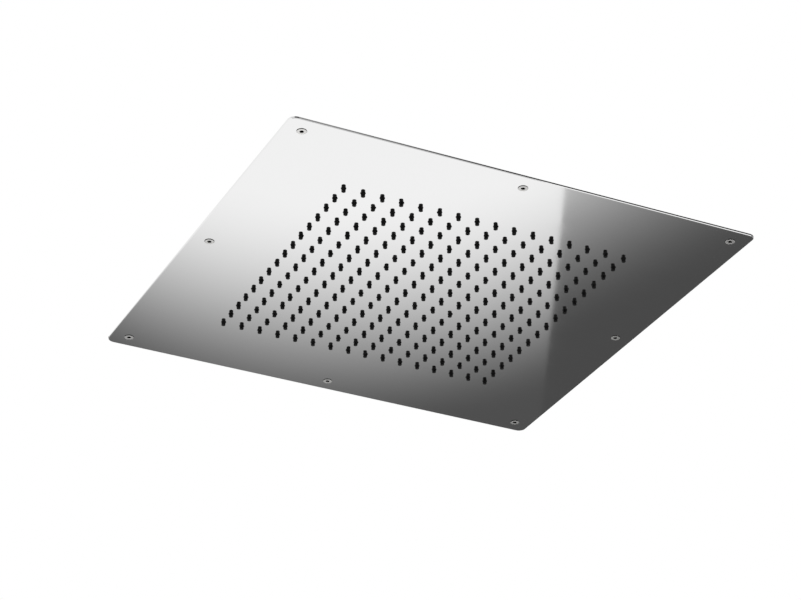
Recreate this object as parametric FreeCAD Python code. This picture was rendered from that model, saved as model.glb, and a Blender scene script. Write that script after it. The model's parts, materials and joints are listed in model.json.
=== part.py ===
"""Square rain shower head for a ceiling: a mirror-polished steel sheet with a field of silicone nozzles.

Lengths are in millimetres. The origin is the centre of the sheet's back, Z points up into the ceiling,
and the water leaves downwards. The sheet's sides lie along X and Y.
"""
import FreeCAD, Part
import math
import os

from FreeCAD import Vector

# Faceplate
PLATE_SIDE = 500.0
PLATE_THICK = 2.0
PLATE_CORNER_R = 8.0
PLATE_EDGE_BREAK = 0.6

# Nozzle field, whose nozzles and holes have flat sides in place of the round
NOZZLES_PER_ROW = 16
NOZZLE_PITCH = 20.5
NOZZLE_SIDES = 6
NOZZLE_HOLE_R = 2.05
NOZZLE_TIP_R = 1.75
NOZZLE_DROP = 3.7

# Countersunk screws that hold the head up, their cones seated in the sheet and the lands below it
SCREW_R = 2.5
SCREW_HEAD_R = 5.0
SCREW_LENGTH = 12.0
SCREW_INSET = 19.0
SCREW_LAND = 0.5
SCREW_KEY_AF = 3.0
SCREW_KEY_DEPTH = 1.9

# Water chamber behind the sheet
FIELD_MARGIN = 12.0
CHAMBER_DEPTH = 16.0
CHAMBER_CORNER_R = 18.0
PAN_WALL = 1.2
PAN_BEVEL = 4.0
FLANGE_WIDTH = 24.0
FLANGE_CORNER_R = 12.0
GASKET_THICK = 1.5
GASKET_WIDTH = 10.0

# Pressed beads that stiffen the pan's top
BEAD_START = 46.0
BEAD_END = 148.0
BEAD_WIDTH = 16.0
BEAD_RISE = 3.0

# Weld studs and nuts along the pan's flange
RIM_STUDS_PER_SIDE = 4
RIM_STUD_R = 2.0
RIM_STUD_SPARE = 1.8
RIM_HOLE_CLEARANCE = 0.25
RIM_WASHER_R = 4.5
RIM_WASHER_THICK = 0.8
RIM_NUT_AF = 7.0
RIM_NUT_HEIGHT = 3.2

# Flat sides that stand for the round of small repeated fasteners
SMALL_SIDES = 6
WASHER_SIDES = 8

# Stays that keep the pan from bulging, set between four nozzles
STAY_STEPS = 4
STAY_POST_AF = 8.0
STAY_R = 2.5
STAY_HOLE_CLEARANCE = 0.25
STAY_BOLT_REACH = 9.0
STAY_HEAD_AF = 8.0
STAY_HEAD_HEIGHT = 3.5
STAY_SEAL_R = 6.5
STAY_SEAL_THICK = 1.5

# Turned inlet with its female thread, drawn as a plain bore at the thread's core
INLET_THREAD_R = 9.5
INLET_THREAD_LENGTH = 14.0
INLET_SEAT_R = 8.5
INLET_THROAT_R = 5.5
BOSS_NECK_R = 13.0
BOSS_HOLE_CLEARANCE = 0.25
BOSS_FLANGE_R = 19.0
BOSS_FLANGE_THICK = 3.0
BOSS_SEAL_R = 18.0
BOSS_SEAL_THICK = 1.2
BOSS_THROAT_LENGTH = 5.2
LOCKNUT_AF = 36.0
LOCKNUT_HEIGHT = 6.0
LOCKNUT_WASHER_R = 20.0
LOCKNUT_WASHER_THICK = 1.0

# Stack in the inlet's seat, from the bottom up
RESTRICTOR_SEAL_THICK = 1.0
RESTRICTOR_THICK = 3.0
RESTRICTOR_BORE_R = 2.6
SCREEN_THICK = 0.4
FILTER_RING_THICK = 1.6
FILTER_RING_R = 6.5

# Pressed plate that spreads the jet, hung from the pan by folded legs
DIFFUSER_R = 40.0
DIFFUSER_SHEET = 1.0
DIFFUSER_DROP = 4.0
DIFFUSER_LEGS = 4
DIFFUSER_LEG_WIDTH = 12.0
DIFFUSER_FOOT = 9.0

# Sizes that follow from those above
PLATE_BOTTOM = -PLATE_THICK
SCREW_REACH = PLATE_SIDE / 2 - SCREW_INSET
FIELD_SIDE = (NOZZLES_PER_ROW - 1) * NOZZLE_PITCH
CHAMBER_SIDE = FIELD_SIDE + 2 * FIELD_MARGIN
PAN_SIDE = CHAMBER_SIDE + 2 * PAN_WALL
PAN_CORNER_R = CHAMBER_CORNER_R + PAN_WALL
PAN_TOP = CHAMBER_DEPTH + PAN_WALL
FLANGE_SIDE = PAN_SIDE + 2 * FLANGE_WIDTH
FLANGE_TOP = GASKET_THICK + PAN_WALL
GASKET_SIDE = CHAMBER_SIDE + 2 * GASKET_WIDTH
RIM_REACH = (GASKET_SIDE + FLANGE_SIDE) / 4
RIM_NUT_BOTTOM = FLANGE_TOP + RIM_WASHER_THICK
STAY_REACH = STAY_STEPS * NOZZLE_PITCH
BOSS_BOTTOM = CHAMBER_DEPTH - BOSS_SEAL_THICK - BOSS_FLANGE_THICK
SEAT_BOTTOM = BOSS_BOTTOM + BOSS_THROAT_LENGTH
RESTRICTOR_BOTTOM = SEAT_BOTTOM + RESTRICTOR_SEAL_THICK
SCREEN_BOTTOM = RESTRICTOR_BOTTOM + RESTRICTOR_THICK
FILTER_RING_BOTTOM = SCREEN_BOTTOM + SCREEN_THICK
THREAD_BOTTOM = FILTER_RING_BOTTOM + FILTER_RING_THICK
BOSS_TOP = THREAD_BOTTOM + INLET_THREAD_LENGTH


def hex_radius(across_flats):
    """Corner radius of a hexagon of this size across its flats."""
    return across_flats / math.sqrt(3)


def polygon_points(sides, radius, z, x=0.0, y=0.0):
    """Corners of a regular polygon about (x, y), anticlockwise from above."""
    turns = [2 * math.pi * i / sides for i in range(sides)]
    return [Vector(x + radius * math.cos(a), y + radius * math.sin(a), z) for a in turns]


def closed_wire(points):
    """Straight-sided closed wire through the points."""
    return Part.makePolygon(points + points[:1])


def rectangle_points(half_x, half_y, z, x=0.0):
    """Corners of a rectangle about (x, 0), anticlockwise from above."""
    signs = ((-1, -1), (1, -1), (1, 1), (-1, 1))
    return [Vector(x + i * half_x, j * half_y, z) for i, j in signs]


def polygon_wire(sides, radius, z, x=0.0, y=0.0):
    """Closed wire of a regular polygon."""
    return closed_wire(polygon_points(sides, radius, z, x, y))


def rounded_square(side, radius, z):
    """Closed wire of a square about the origin, with round corners."""
    half, flat = side / 2, side / 2 - radius
    mid = flat + radius * math.sqrt(0.5)
    edges = []
    for quarter in range(4):
        c, s = round(math.cos(quarter * math.pi / 2)), round(math.sin(quarter * math.pi / 2))

        def turned(x, y):
            return Vector(c * x - s * y, s * x + c * y, z)

        edges.append(Part.LineSegment(turned(half, -flat), turned(half, flat)).toShape())
        edges.append(Part.Arc(turned(half, flat), turned(mid, mid), turned(flat, half)).toShape())
    return Part.Wire(edges)


def sheet(wires, height):
    """Solid raised from an outline and the holes inside it."""
    face = Part.makeFace(wires, "Part::FaceMakerBullseye")
    return face.Faces[0].extrude(Vector(0, 0, height))


def tapered(low, high):
    """Solid between two loops of as many corners, the lower one first, with flat sides."""
    count = len(low)
    faces = [Part.Face(closed_wire(low[::-1])), Part.Face(closed_wire(high))]
    for i in range(count):
        j = (i + 1) % count
        faces.append(Part.Face(closed_wire([low[i], low[j], high[j], high[i]])))
    return Part.makeSolid(Part.makeShell(faces))


def ring(outer_r, inner_r, bottom, height):
    """Round ring about the Z axis."""
    outer = Part.makeCylinder(outer_r, height, Vector(0, 0, bottom))
    return outer.cut(Part.makeCylinder(inner_r, height, Vector(0, 0, bottom)))


def bevel_loop(solid, z, size):
    """The solid with its outline at height z bevelled."""
    edges = [e for e in solid.Edges if abs(e.BoundBox.ZMin - z) < 1e-6 and abs(e.BoundBox.ZMax - z) < 1e-6]
    return solid.makeChamfer(size, edges)


def copies(solid, places):
    """One separate solid at each place."""
    return Part.makeCompound([solid.translated(Vector(x, y, 0)) for x, y in places])


def nozzle_places():
    """Centres of the nozzles, row by row."""
    steps = [(i - (NOZZLES_PER_ROW - 1) / 2) * NOZZLE_PITCH for i in range(NOZZLES_PER_ROW)]
    return [(x, y) for y in steps for x in steps]


def screw_places():
    """Centres of the corner screws and the mid-side screws."""
    steps = (-SCREW_REACH, 0.0, SCREW_REACH)
    return [(x, y) for y in steps for x in steps if x or y]


def rim_places():
    """Centres of the studs along the four sides of the pan's flange."""
    last = RIM_STUDS_PER_SIDE - 1
    steps = [RIM_REACH * (2 * i / last - 1) for i in range(RIM_STUDS_PER_SIDE)]
    return [(x, y) for y in steps for x in steps if max(abs(x), abs(y)) > RIM_REACH - 1e-6]


def stay_places():
    """Centres of the four stays."""
    return [(x, y) for y in (-STAY_REACH, STAY_REACH) for x in (-STAY_REACH, STAY_REACH)]


def faceplate():
    """Polished sheet with its nozzle holes and countersinks, and a bevelled edge on the side that shows."""
    blank = sheet([rounded_square(PLATE_SIDE, PLATE_CORNER_R, PLATE_BOTTOM)], PLATE_THICK)
    blank = bevel_loop(blank, PLATE_BOTTOM, PLATE_EDGE_BREAK)
    sink = Part.makeCone(SCREW_HEAD_R, SCREW_HEAD_R - PLATE_THICK, PLATE_THICK, Vector(0, 0, PLATE_BOTTOM))
    drill = sheet([polygon_wire(NOZZLE_SIDES, NOZZLE_HOLE_R, PLATE_BOTTOM)], PLATE_THICK)
    return blank.cut([copies(sink, screw_places()), copies(drill, nozzle_places())])


def spray_nozzles():
    """Silicone inserts that taper to the tip, each pushed through its hole from behind."""
    root = polygon_points(NOZZLE_SIDES, NOZZLE_HOLE_R, 0.0)
    tip = polygon_points(NOZZLE_SIDES, NOZZLE_TIP_R, PLATE_BOTTOM - NOZZLE_DROP)
    return copies(tapered(tip, root), nozzle_places())


def plate_screws():
    """Countersunk hex socket screws, whose lands stand out of the sheet."""
    face = PLATE_BOTTOM - SCREW_LAND
    neck = PLATE_BOTTOM + SCREW_HEAD_R - SCREW_R
    land = Part.makeCylinder(SCREW_HEAD_R, SCREW_LAND, Vector(0, 0, face))
    cone = Part.makeCone(SCREW_HEAD_R, SCREW_R, neck - PLATE_BOTTOM, Vector(0, 0, PLATE_BOTTOM))
    shank = Part.makeCylinder(SCREW_R, face + SCREW_LENGTH - neck, Vector(0, 0, neck))
    socket = sheet([polygon_wire(6, hex_radius(SCREW_KEY_AF), face)], SCREW_KEY_DEPTH)
    return copies(land.fuse([cone, shank]).removeSplitter().cut(socket), screw_places())


def bead(turn, inset, base):
    """One bead with sloping sides, for the pan's outside or, inset by the wall, for its inside."""
    middle = (BEAD_START + BEAD_END) / 2
    half_x = (BEAD_END - BEAD_START) / 2 - inset
    half_y = BEAD_WIDTH / 2 - inset
    foot = rectangle_points(half_x, half_y, base, middle)
    crest = rectangle_points(half_x - BEAD_RISE, half_y - BEAD_RISE, base + BEAD_RISE, middle)
    return tapered(foot, crest).rotated(Vector(0, 0, 0), Vector(0, 0, 1), turn)


def pan_block(side, corner_r, top, bevel):
    """Solid block from the gasket up to this top, with a bevelled shoulder."""
    block = sheet([rounded_square(side, corner_r, GASKET_THICK)], top - GASKET_THICK)
    return bevel_loop(block, top, bevel)


def back_pan():
    """Pressed pan with bevelled shoulders, four beads and a flat flange, all of one wall thickness."""
    hole_r = RIM_STUD_R + RIM_HOLE_CLEARANCE
    outline = rounded_square(FLANGE_SIDE, FLANGE_CORNER_R, GASKET_THICK)
    holes = [polygon_wire(SMALL_SIDES, hole_r, GASKET_THICK, x, y) for x, y in rim_places()]
    flange = sheet([outline] + holes, PAN_WALL)
    inner_bevel = PAN_BEVEL - PAN_WALL * (2 - math.sqrt(2))
    outside = pan_block(PAN_SIDE, PAN_CORNER_R, PAN_TOP, PAN_BEVEL)
    inside = pan_block(CHAMBER_SIDE, CHAMBER_CORNER_R, CHAMBER_DEPTH, inner_bevel)
    turns = [90.0 * i for i in range(4)]
    raised = [bead(turn, 0.0, PAN_TOP) for turn in turns]
    hollow = [bead(turn, PAN_WALL * (math.sqrt(2) - 1), CHAMBER_DEPTH) for turn in turns]
    ceiling = Vector(0, 0, CHAMBER_DEPTH)
    inlet_hole = Part.makeCylinder(BOSS_NECK_R + BOSS_HOLE_CLEARANCE, PAN_WALL, ceiling)
    stay_hole = sheet([polygon_wire(SMALL_SIDES, STAY_R + STAY_HOLE_CLEARANCE, CHAMBER_DEPTH)], PAN_WALL)
    pressed = flange.fuse([outside] + raised).removeSplitter()
    return pressed.cut([inside, inlet_hole, copies(stay_hole, stay_places())] + hollow)


def chamber_gasket():
    """Flat rubber frame between the sheet and the pan's flange."""
    outer = rounded_square(GASKET_SIDE, CHAMBER_CORNER_R + GASKET_WIDTH, 0.0)
    return sheet([outer, rounded_square(CHAMBER_SIDE, CHAMBER_CORNER_R, 0.0)], GASKET_THICK)


def rim_studs():
    """Studs welded to the sheet's back, outside the gasket."""
    height = RIM_NUT_BOTTOM + RIM_NUT_HEIGHT + RIM_STUD_SPARE
    return copies(sheet([polygon_wire(SMALL_SIDES, RIM_STUD_R, 0.0)], height), rim_places())


def rim_washers():
    """Flat washers on the pan's flange."""
    outer = polygon_wire(WASHER_SIDES, RIM_WASHER_R, FLANGE_TOP)
    hole = polygon_wire(SMALL_SIDES, RIM_STUD_R + RIM_HOLE_CLEARANCE, FLANGE_TOP)
    return copies(sheet([outer, hole], RIM_WASHER_THICK), rim_places())


def rim_nuts():
    """Nuts that press the pan's flange on its gasket."""
    outer = polygon_wire(6, hex_radius(RIM_NUT_AF), RIM_NUT_BOTTOM)
    thread = polygon_wire(SMALL_SIDES, RIM_STUD_R, RIM_NUT_BOTTOM)
    return copies(sheet([outer, thread], RIM_NUT_HEIGHT), rim_places())


def stay_posts():
    """Hexagonal posts between the sheet and the pan's top, tapped for the stay bolts."""
    post = sheet([polygon_wire(6, hex_radius(STAY_POST_AF), 0.0)], CHAMBER_DEPTH)
    tapping = sheet([polygon_wire(SMALL_SIDES, STAY_R, CHAMBER_DEPTH - STAY_BOLT_REACH)], STAY_BOLT_REACH)
    return copies(post.cut(tapping), stay_places())


def stay_seals():
    """Sealing washers on the pan's top, under the stay bolts' heads."""
    outer = polygon_wire(WASHER_SIDES, STAY_SEAL_R, PAN_TOP)
    hole = polygon_wire(SMALL_SIDES, STAY_R, PAN_TOP)
    return copies(sheet([outer, hole], STAY_SEAL_THICK), stay_places())


def stay_bolts():
    """Hexagon bolts that draw the pan's top down on the posts."""
    head_bottom = PAN_TOP + STAY_SEAL_THICK
    shank_bottom = CHAMBER_DEPTH - STAY_BOLT_REACH
    head = sheet([polygon_wire(6, hex_radius(STAY_HEAD_AF), head_bottom)], STAY_HEAD_HEIGHT)
    shank = sheet([polygon_wire(SMALL_SIDES, STAY_R, shank_bottom)], head_bottom - shank_bottom)
    return copies(head.fuse(shank).removeSplitter(), stay_places())


def inlet_boss():
    """Turned brass inlet: flange inside the chamber, neck through the pan, stepped bore."""
    profile = [
        (INLET_THROAT_R, BOSS_BOTTOM),
        (BOSS_FLANGE_R, BOSS_BOTTOM),
        (BOSS_FLANGE_R, BOSS_BOTTOM + BOSS_FLANGE_THICK),
        (BOSS_NECK_R, BOSS_BOTTOM + BOSS_FLANGE_THICK),
        (BOSS_NECK_R, BOSS_TOP),
        (INLET_THREAD_R, BOSS_TOP),
        (INLET_THREAD_R, THREAD_BOTTOM),
        (INLET_SEAT_R, THREAD_BOTTOM),
        (INLET_SEAT_R, SEAT_BOTTOM),
        (INLET_THROAT_R, SEAT_BOTTOM),
    ]
    section = Part.Face(closed_wire([Vector(r, 0, z) for r, z in profile]))
    return section.revolve(Vector(0, 0, 0), Vector(0, 0, 1), 360)


def boss_seal():
    """Flat seal between the boss's flange and the pan's top."""
    return ring(BOSS_SEAL_R, BOSS_NECK_R, CHAMBER_DEPTH - BOSS_SEAL_THICK, BOSS_SEAL_THICK)


def locknut_washer():
    """Steel washer on the pan's top, under the locknut."""
    return ring(LOCKNUT_WASHER_R, BOSS_NECK_R + BOSS_HOLE_CLEARANCE, PAN_TOP, LOCKNUT_WASHER_THICK)


def boss_locknut():
    """Brass nut that clamps the boss in the pan."""
    bottom = PAN_TOP + LOCKNUT_WASHER_THICK
    blank = sheet([polygon_wire(6, hex_radius(LOCKNUT_AF), bottom)], LOCKNUT_HEIGHT)
    return blank.cut(Part.makeCylinder(BOSS_NECK_R, LOCKNUT_HEIGHT, Vector(0, 0, bottom)))


def restrictor_seal():
    """Rubber ring between the seat's shoulder and the restrictor."""
    return ring(INLET_SEAT_R, INLET_THROAT_R, SEAT_BOTTOM, RESTRICTOR_SEAL_THICK)


def flow_restrictor():
    """Plastic ring whose small bore sets the flow."""
    return ring(INLET_SEAT_R, RESTRICTOR_BORE_R, RESTRICTOR_BOTTOM, RESTRICTOR_THICK)


def filter_screen():
    """Disc of fine steel mesh on the restrictor."""
    return Part.makeCylinder(INLET_SEAT_R, SCREEN_THICK, Vector(0, 0, SCREEN_BOTTOM))


def filter_washer():
    """Rubber ring that holds the mesh and seals the pipe's end."""
    return ring(INLET_SEAT_R, FILTER_RING_R, FILTER_RING_BOTTOM, FILTER_RING_THICK)


def diffuser_plate():
    """Round plate under the inlet, on legs folded up and out to the pan's top."""
    bottom = BOSS_BOTTOM - DIFFUSER_DROP - DIFFUSER_SHEET
    plate = Part.makeCylinder(DIFFUSER_R, DIFFUSER_SHEET, Vector(0, 0, bottom))
    side = -DIFFUSER_LEG_WIDTH / 2
    reach = math.sqrt(DIFFUSER_R ** 2 - side ** 2)
    riser_place = Vector(reach, side, bottom)
    riser = Part.makeBox(DIFFUSER_SHEET, DIFFUSER_LEG_WIDTH, CHAMBER_DEPTH - bottom, riser_place)
    foot_place = Vector(reach, side, CHAMBER_DEPTH - DIFFUSER_SHEET)
    foot = Part.makeBox(DIFFUSER_FOOT, DIFFUSER_LEG_WIDTH, DIFFUSER_SHEET, foot_place)
    leg = riser.fuse(foot)
    turns = [360.0 / DIFFUSER_LEGS * (i + 0.5) for i in range(DIFFUSER_LEGS)]
    legs = [leg.rotated(Vector(0, 0, 0), Vector(0, 0, 1), turn) for turn in turns]
    return plate.fuse(legs).removeSplitter()


PIECES = (
    faceplate,
    spray_nozzles,
    plate_screws,
    back_pan,
    chamber_gasket,
    rim_studs,
    rim_washers,
    rim_nuts,
    stay_posts,
    stay_seals,
    stay_bolts,
    inlet_boss,
    boss_seal,
    locknut_washer,
    boss_locknut,
    restrictor_seal,
    flow_restrictor,
    filter_screen,
    filter_washer,
    diffuser_plate,
)

os.makedirs("parts", exist_ok=True)
for piece in PIECES:
    shape = piece()
    shape.exportStep("parts/" + piece.__name__ + ".step")
    print(piece.__name__, len(shape.Solids), "solids,", round(shape.Volume), "mm3")
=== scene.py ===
"""Looks of a square ceiling rain shower head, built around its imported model.

Lengths are in metres. The sheet's back is at Z = 0, Z points up into the ceiling and the water leaves
downwards. Run as a script, the file builds every piece, its finish, the studio and the camera.
"""

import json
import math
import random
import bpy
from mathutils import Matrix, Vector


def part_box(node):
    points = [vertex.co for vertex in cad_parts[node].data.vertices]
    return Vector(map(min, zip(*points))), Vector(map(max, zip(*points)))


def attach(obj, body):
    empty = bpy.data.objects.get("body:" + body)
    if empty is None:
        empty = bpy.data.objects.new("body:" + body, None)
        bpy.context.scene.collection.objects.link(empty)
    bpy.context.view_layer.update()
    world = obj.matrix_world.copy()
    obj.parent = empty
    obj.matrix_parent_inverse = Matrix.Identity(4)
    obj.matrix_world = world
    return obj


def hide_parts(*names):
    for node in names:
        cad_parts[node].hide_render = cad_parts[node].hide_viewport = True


bl_info = {
    "name": "Square rain shower head",
    "version": (1, 0, 0),
    "blender": (4, 5, 0),
    "location": "3D View > Sidebar > Shower head",
    "description": "Builds the nozzles, fasteners, water chamber and finishes of a ceiling shower head",
    "category": "Object",
}

import bmesh
import bpy
from bpy.props import FloatProperty, FloatVectorProperty, IntProperty, PointerProperty
from mathutils import Matrix, Vector

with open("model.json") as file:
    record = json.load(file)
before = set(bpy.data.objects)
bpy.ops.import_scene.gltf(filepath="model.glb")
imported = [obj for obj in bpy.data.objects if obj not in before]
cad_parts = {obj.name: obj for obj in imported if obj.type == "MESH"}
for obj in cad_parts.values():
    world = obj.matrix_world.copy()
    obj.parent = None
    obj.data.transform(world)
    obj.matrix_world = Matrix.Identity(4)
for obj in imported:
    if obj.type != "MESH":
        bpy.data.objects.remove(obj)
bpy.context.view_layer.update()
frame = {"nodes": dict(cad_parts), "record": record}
MM = 0.001
BODY = "root"

PLATE_LOW, PLATE_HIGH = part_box("faceplate")
PLATE_FACE = PLATE_LOW.z
NOZZLE_LOW, NOZZLE_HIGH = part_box("spray_nozzles")
SCREW_LOW, SCREW_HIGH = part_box("plate_screws")
PAN_LOW, PAN_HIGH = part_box("back_pan")
STUD_LOW, STUD_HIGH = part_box("rim_studs")
WASHER_LOW, WASHER_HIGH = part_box("rim_washers")
NUT_LOW, NUT_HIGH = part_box("rim_nuts")
SEAL_LOW, SEAL_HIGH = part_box("stay_seals")
BOLT_LOW, BOLT_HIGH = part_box("stay_bolts")
BOSS_LOW, BOSS_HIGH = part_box("inlet_boss")
LOCKNUT_WASHER_LOW, LOCKNUT_WASHER_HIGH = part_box("locknut_washer")
LOCKNUT_LOW, LOCKNUT_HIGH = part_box("boss_locknut")
SCREEN_LOW, SCREEN_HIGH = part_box("filter_screen")
INLET_THREAD_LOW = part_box("filter_washer")[1].z

# Points around a turned shape. Each count is a multiple of six, so that hexagons keep their corners
FINE_TURN = 72
SMALL_TURN = 24
NOZZLE_TURN = 18

# Points of a mesh closer than this are one
WELD = 0.002 * MM

# Edges that turn by more degrees than these are shaded sharp
METAL_EDGE = 22.0
PAN_EDGE = 30.0
NOZZLE_EDGE = 50.0
SOFT_EDGE = 60.0

# Radii over the threads of the studs, the stay bolts and the inlet's neck, and the room around each
STUD_R = 2 * MM
STAY_R = 2.5 * MM
NECK_R = 13 * MM
HOLE_SPARE = 0.25 * MM

# Hexagons: the stay bolts' width across flats, and the corners' radius as a share of the flats'
STAY_KEY = 8 * MM
HEX_CORNER = 1 / math.cos(math.radians(30))

# The round end face of a nut or a bolt head, as a share of its flats, and the slope of its chamfer
END_FACE = 0.965
CHAMFER_SLOPE = math.tan(math.radians(30))

# Width of the camera's sensor in millimetres
SENSOR_WIDTH = 36.0


def linear(code):
    """Linear colour of an sRGB hex code."""
    shares = [int(code[i:i + 2], 16) / 255 for i in (0, 2, 4)]
    return tuple(s / 12.92 if s <= 0.04045 else ((s + 0.055) / 1.055) ** 2.4 for s in shares)


class ShowerSizes(bpy.types.PropertyGroup):
    """Sizes of the pieces that their packed boxes don't give."""

    nozzles_per_row: IntProperty(name="Nozzles per row", description="Nozzles along each side", default=16)
    nozzles_per_mat: IntProperty(
        name="Nozzles per mat", description="Nozzles along each side of one moulded mat", default=4)
    nozzle_root: FloatProperty(
        name="Nozzle root", description="Radius to the corners of the packed nozzles' roots",
        default=2.05 * MM, unit="LENGTH", precision=5)
    collar_radius: FloatProperty(
        name="Collar radius", description="Radius of the nozzle's collar on the sheet",
        default=2.75 * MM, unit="LENGTH", precision=5)
    nozzle_sag: FloatProperty(
        name="Nozzle sag", description="How much less the middle nozzles of a mat stand out",
        default=0.45 * MM, unit="LENGTH", precision=5)
    nozzle_lean: FloatProperty(
        name="Nozzle lean", description="Angle by which the soft nozzles usually lean",
        default=math.radians(3.2), subtype="ANGLE")
    outlet_radius: FloatProperty(
        name="Outlet radius", description="Radius of the hole in the nozzle's tip",
        default=0.5 * MM, unit="LENGTH", precision=5)
    screw_head: FloatProperty(
        name="Screw head", description="Radius of the plate screws' heads",
        default=5 * MM, unit="LENGTH", precision=5)
    pan_wall: FloatProperty(
        name="Pan wall", description="Thickness of the pressed pan's sheet",
        default=1.2 * MM, unit="LENGTH", precision=5)
    field_margin: FloatProperty(
        name="Field margin", description="From the outer nozzles' centres to the chamber's wall",
        default=12 * MM, unit="LENGTH", precision=5)
    mesh_pitch: FloatProperty(
        name="Mesh pitch", description="Distance between the wires of the inlet's filter",
        default=0.7 * MM, unit="LENGTH", precision=5)


class ShowerFinishes(bpy.types.PropertyGroup):
    """Colours of the finishes."""

    mirror_steel: FloatVectorProperty(
        name="Mirror steel", description="Polished stainless sheet",
        subtype="COLOR", size=3, min=0, max=1, default=linear("E8E8E8"))
    satin_steel: FloatVectorProperty(
        name="Satin steel", description="Cold rolled stainless sheet",
        subtype="COLOR", size=3, min=0, max=1, default=linear("C9C8C5"))
    fastener_steel: FloatVectorProperty(
        name="Fastener steel", description="Cold formed stainless screws and nuts",
        subtype="COLOR", size=3, min=0, max=1, default=linear("E0DFDD"))
    # Painted shade: near black in the screws' sockets, and a painted dark reflection on the sides of their
    # heads
    painted_shade: FloatVectorProperty(
        name="Painted shade", description="Sockets and sides of the screws' heads",
        subtype="COLOR", size=3, min=0, max=1, default=linear("070707"))
    silicone: FloatVectorProperty(
        name="Silicone", description="Moulded nozzles",
        subtype="COLOR", size=3, min=0, max=1, default=linear("060606"))
    rubber: FloatVectorProperty(
        name="Rubber", description="Seals cut from sheet",
        subtype="COLOR", size=3, min=0, max=1, default=linear("232324"))
    brass: FloatVectorProperty(
        name="Brass", description="Turned inlet and its nut",
        subtype="COLOR", size=3, min=0, max=1, default=linear("D6B36A"))
    acetal: FloatVectorProperty(
        name="Acetal", description="Moulded flow restrictor",
        subtype="COLOR", size=3, min=0, max=1, default=linear("ECEAE2"))
    floor_paint: FloatVectorProperty(
        name="Floor paint", description="Matt emulsion on the studio's floor",
        subtype="COLOR", size=3, min=0, max=1, default=linear("F0F0F0"))


class ShowerStudio(bpy.types.PropertyGroup):
    """Camera, light and floor."""

    camera_place: FloatVectorProperty(
        name="Camera place", description="Camera from the centre of the sheet's back",
        subtype="TRANSLATION", size=3, default=(-1.0325, -2.1822, -1.3121))
    camera_azimuth: FloatProperty(
        name="Azimuth", description="Direction of view, from +Y towards +X",
        subtype="ANGLE", default=math.radians(24.88))
    camera_elevation: FloatProperty(
        name="Elevation", description="Direction of view above the horizon",
        subtype="ANGLE", default=math.radians(28.29))
    camera_roll: FloatProperty(
        name="Roll", description="Turn of the camera about its line of sight",
        subtype="ANGLE", default=math.radians(0.85))
    camera_lens: FloatProperty(
        name="Lens", description="Focal length in millimetres", default=120.2, unit="CAMERA")
    floor_drop: FloatProperty(
        name="Floor drop", description="From the head down to the floor", default=2.3, unit="LENGTH")
    floor_radius: FloatProperty(
        name="Floor radius", description="Radius of the pale floor", default=2.2, unit="LENGTH")
    plain_level: FloatProperty(
        name="Plain level", description="Strength of the even light on every surface", default=0.75)
    lamp_power: FloatProperty(
        name="Lamp power", description="Power of the soft lamp above the head in watts",
        default=9.0, unit="POWER")
    lamp_size: FloatProperty(
        name="Lamp size", description="Side of the soft lamp", default=1.6, unit="LENGTH")
    lamp_place: FloatVectorProperty(
        name="Lamp place", description="Soft lamp from the centre of the sheet's back",
        subtype="TRANSLATION", size=3, default=(-1.0, 0.9, 1.9))


def add_node(tree, kind, values=None, links=None, **settings):
    """Adds one node with its settings, the values of its inputs and the outputs that feed them."""
    node = tree.nodes.new(kind)
    for name, value in settings.items():
        setattr(node, name, value)
    for name, value in (values or {}).items():
        node.inputs[name].default_value = value
    for name, source in (links or {}).items():
        tree.links.new(source, node.inputs[name])
    return node


def new_finish(build):
    """A material that is named for the function that builds its surface."""
    material = bpy.data.materials.new(build.__name__)
    material.use_nodes = True
    tree = material.node_tree
    tree.nodes.clear()
    shader = build(tree, bpy.context.scene.shower_finishes)
    add_node(tree, "ShaderNodeOutputMaterial", links={"Surface": shader.outputs[0]})
    return material


def object_pattern(tree, size, stretch=(1, 1, 1), detail=3.0):
    """Noise whose features have this size in metres, drawn out along the axes by the stretch."""
    place = add_node(tree, "ShaderNodeTexCoord").outputs["Object"]
    scale = [1 / (size * s) for s in stretch]
    mapped = add_node(tree, "ShaderNodeMapping", {"Scale": scale}, {"Vector": place})
    values = {"Scale": 1.0, "Detail": detail}
    return add_node(tree, "ShaderNodeTexNoise", values, {"Vector": mapped.outputs["Vector"]}).outputs["Fac"]


def ranged(tree, source, low, high, start=0.0, end=1.0, kind="LINEAR"):
    """A value carried from one range to another."""
    values = {"From Min": start, "From Max": end, "To Min": low, "To Max": high}
    node = add_node(tree, "ShaderNodeMapRange", values, {"Value": source}, interpolation_type=kind)
    return node.outputs["Result"]


def faded(tree, source, low, high, start, end):
    """A soft change from low to high while the source goes from start to end."""
    return ranged(tree, source, low, high, start, end, "SMOOTHSTEP")


def computed(tree, operation, *terms):
    """One step of arithmetic on numbers and outputs."""
    node = add_node(tree, "ShaderNodeMath", operation=operation)
    for socket, term in zip(node.inputs, terms):
        if isinstance(term, (int, float)):
            socket.default_value = term
        else:
            tree.links.new(term, socket)
    return node.outputs["Value"]


def raised(tree, height, distance):
    """Bump from a height pattern, whose full height is the distance."""
    values = {"Strength": 1.0, "Distance": distance}
    return add_node(tree, "ShaderNodeBump", values, {"Height": height}).outputs["Normal"]


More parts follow.
